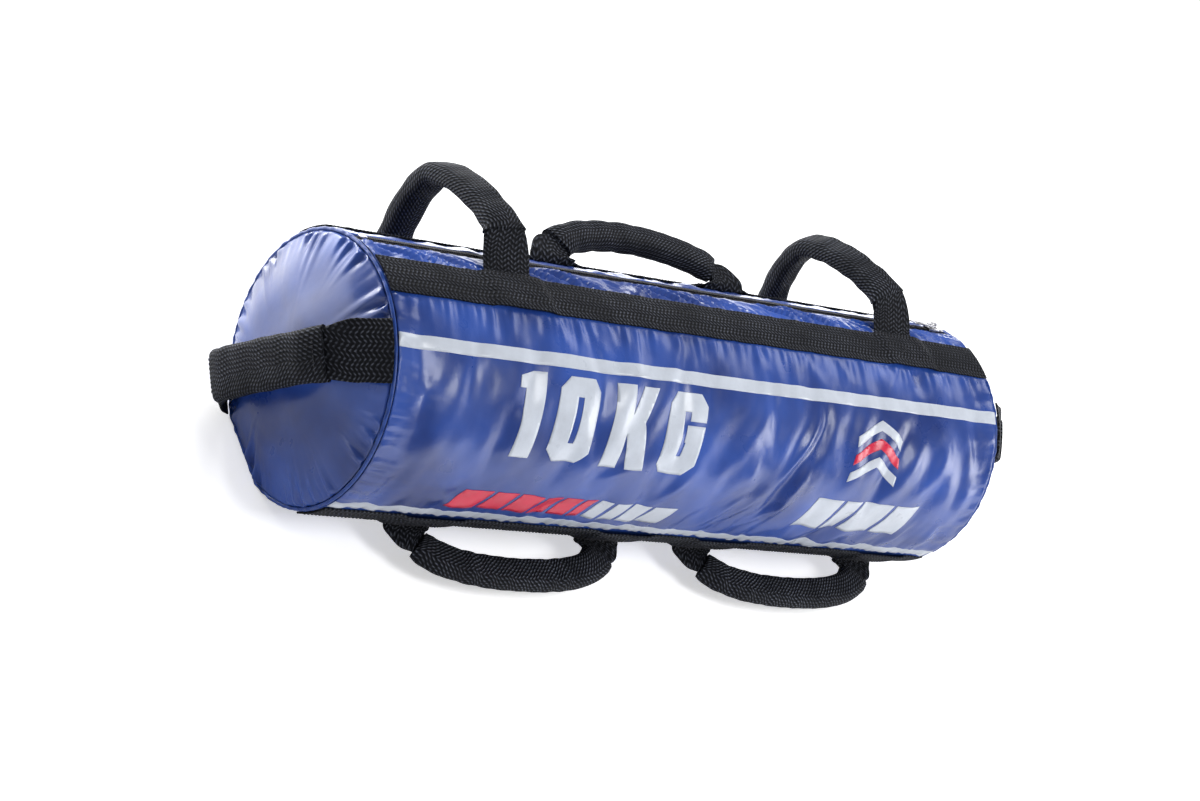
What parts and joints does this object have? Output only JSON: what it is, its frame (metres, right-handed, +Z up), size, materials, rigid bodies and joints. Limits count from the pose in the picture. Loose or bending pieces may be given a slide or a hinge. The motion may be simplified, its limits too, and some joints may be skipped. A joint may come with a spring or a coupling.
{
  "type": "sandbag trainer",
  "caption": "Round filled training bag of coated fabric with webbing handles on its top, underside and ends, a zip and printed stripes.",
  "frame": {"origin": "centre of the flat patch on the bag's underside, where it rests on the floor", "axes": "+Z up from the floor, +X along the bag to its right end, -Y towards the printed front"},
  "size_m": [0.8331, 0.3114, 0.2485],
  "materials": {
    "coated_fabric": "gloss",
    "webbing": "matte",
    "grip_webbing": "matte",
    "print_white": "satin",
    "piping": "satin",
    "zip_tape": "matte",
    "zip_coil": "satin",
    "zip_metal": "satin",
    "padding": "matte",
    "print_red": "satin",
    "stitching": "matte",
    "liner": "matte"
  },
  "bodies": {
    "root": {"arch_handle_left_front_foot": "webbing", "arch_handle_left_rear_foot": "webbing", "arch_handle_right_front_foot": "webbing", "arch_handle_right_rear_foot": "webbing", "end_cap_left": "coated_fabric", "end_cap_right": "coated_fabric", "end_handle_left_front_foot": "webbing", "end_handle_left_rear_foot": "webbing", "end_handle_right_front_foot": "webbing", "end_handle_right_rear_foot": "webbing", "end_pad_left": "padding", "end_pad_right": "padding", "front_panel": "coated_fabric", "lower_handle_left_left_foot": "webbing", "lower_handle_left_right_foot": "webbing", "lower_handle_right_left_foot": "webbing", "lower_handle_right_right_foot": "webbing", "padding_sleeve": "padding", "printed_stripe_lower": "print_white", "printed_stripe_upper": "print_white", "rear_panel": "coated_fabric", "rim_piping_left": "piping", "rim_piping_right": "piping", "sand_bag": "liner", "sand_bag_closure": "webbing", "top_handle_left_foot": "webbing", "top_handle_right_foot": "webbing", "top_panel": "coated_fabric", "upper_front_panel": "coated_fabric", "web_strip_bottom": "webbing", "web_strip_front": "webbing", "web_strip_rear": "webbing", "web_strip_top": "webbing", "zip_coil_front": "zip_coil", "zip_coil_rear": "zip_coil", "zip_stop_left": "zip_metal", "zip_stop_right": "zip_metal", "zip_tape_front": "zip_tape", "zip_tape_rear": "zip_tape"},
    "arch_left": {"arch_handle_left_grip": "grip_webbing", "arch_handle_left_strap": "webbing"},
    "arch_right": {"arch_handle_right_grip": "grip_webbing", "arch_handle_right_strap": "webbing"},
    "lower_handle_left": {"lower_handle_left_grip": "grip_webbing", "lower_handle_left_strap": "webbing"},
    "lower_handle_right": {"lower_handle_right_grip": "grip_webbing", "lower_handle_right_strap": "webbing"},
    "top_handle": {"top_handle_grip": "grip_webbing", "top_handle_strap": "webbing"},
    "end_handle_left": {"end_handle_left_grip": "grip_webbing", "end_handle_left_strap": "webbing"},
    "end_handle_right": {"end_handle_right_grip": "grip_webbing", "end_handle_right_strap": "webbing"},
    "zip_slider": {"zip_slider": "zip_metal"},
    "zip_pull": {"zip_pull": "zip_metal"}
  },
  "joints": [
    {"name": "arch_left_swing", "type": "hinge", "parent": "root", "child": "arch_left", "pos_m": [-0.216, 0.08922, 0.16529], "axis": [0, 0.5299, -0.848], "range_deg": [-48, 62]},
    {"name": "arch_right_swing", "type": "hinge", "parent": "root", "child": "arch_right", "pos_m": [0.251, 0.08922, 0.16529], "axis": [0, 0.5299, -0.848], "range_deg": [-35, 75]},
    {"name": "lower_handle_left_swing", "type": "hinge", "parent": "root", "child": "lower_handle_left", "pos_m": [-0.135, -0.09015, 0.02734], "axis": [-1, 0, 0], "range_deg": [-14, 28]},
    {"name": "lower_handle_right_swing", "type": "hinge", "parent": "root", "child": "lower_handle_right", "pos_m": [0.192, -0.09015, 0.02734], "axis": [-1, 0, 0], "range_deg": [-14, 28]},
    {"name": "top_handle_swing", "type": "hinge", "parent": "root", "child": "top_handle", "pos_m": [-0.013, 0.09015, 0.19175], "axis": [-1, 0, 0], "range_deg": [-120, 16]},
    {"name": "end_handle_left_swing", "type": "hinge", "parent": "root", "child": "end_handle_left", "pos_m": [-0.385, 0, 0.10955], "axis": [0, 0.5299, -0.848], "range_deg": [-33, 47]},
    {"name": "end_handle_right_swing", "type": "hinge", "parent": "root", "child": "end_handle_right", "pos_m": [0.385, 0, 0.10955], "axis": [0, 0.5299, -0.848], "range_deg": [-57, 43]},
    {"name": "zip_slide", "type": "slide", "parent": "root", "child": "zip_slider", "axis": [1, 0, 0], "range_m": [-0.6654, 0]},
    {"name": "zip_pull_flip", "type": "hinge", "parent": "zip_slider", "child": "zip_pull", "pos_m": [0.3327, 0.05779, 0.2138], "axis": [0, 0.8746, -0.4848], "range_deg": [0, 175]}
  ]
}
